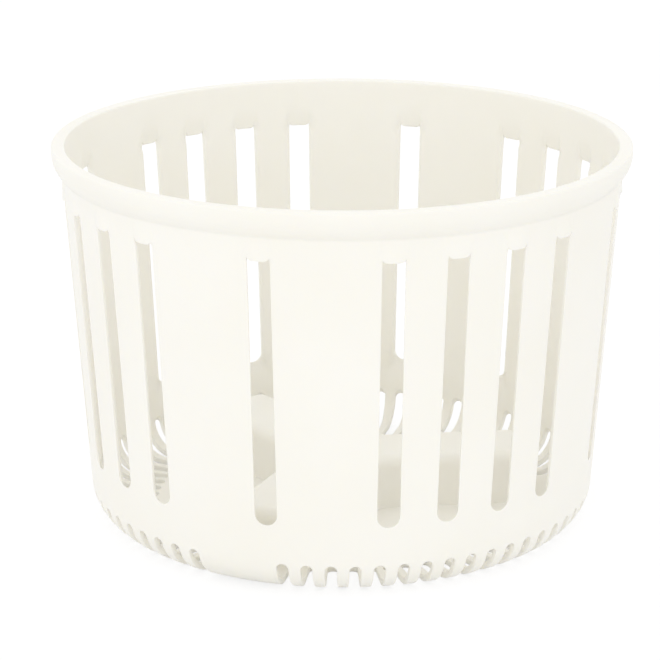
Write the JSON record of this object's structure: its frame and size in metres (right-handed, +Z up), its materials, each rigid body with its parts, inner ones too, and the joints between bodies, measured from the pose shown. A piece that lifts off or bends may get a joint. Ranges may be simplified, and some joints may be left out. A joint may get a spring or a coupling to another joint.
{
  "type": "salad spinner basket",
  "caption": "Round strainer basket of a salad spinner, with a rolled rim, hooded upright wall slots, drain slots round the base and a raised star-shaped hub in its floor.",
  "frame": {"origin": "on the basket's axis, at the plane of the base that it stands on", "axes": "+Z up along the basket's axis, out of the open mouth; -Y is the front, through the middle of a blank panel between two slots"},
  "size_m": [0.2398, 0.2398, 0.1605],
  "materials": {
    "cream_polypropylene": "satin moulded polypropylene, cream, slightly translucent"
  },
  "bodies": {
    "root": {"basket": "cream_polypropylene"}
  },
  "joints": []
}
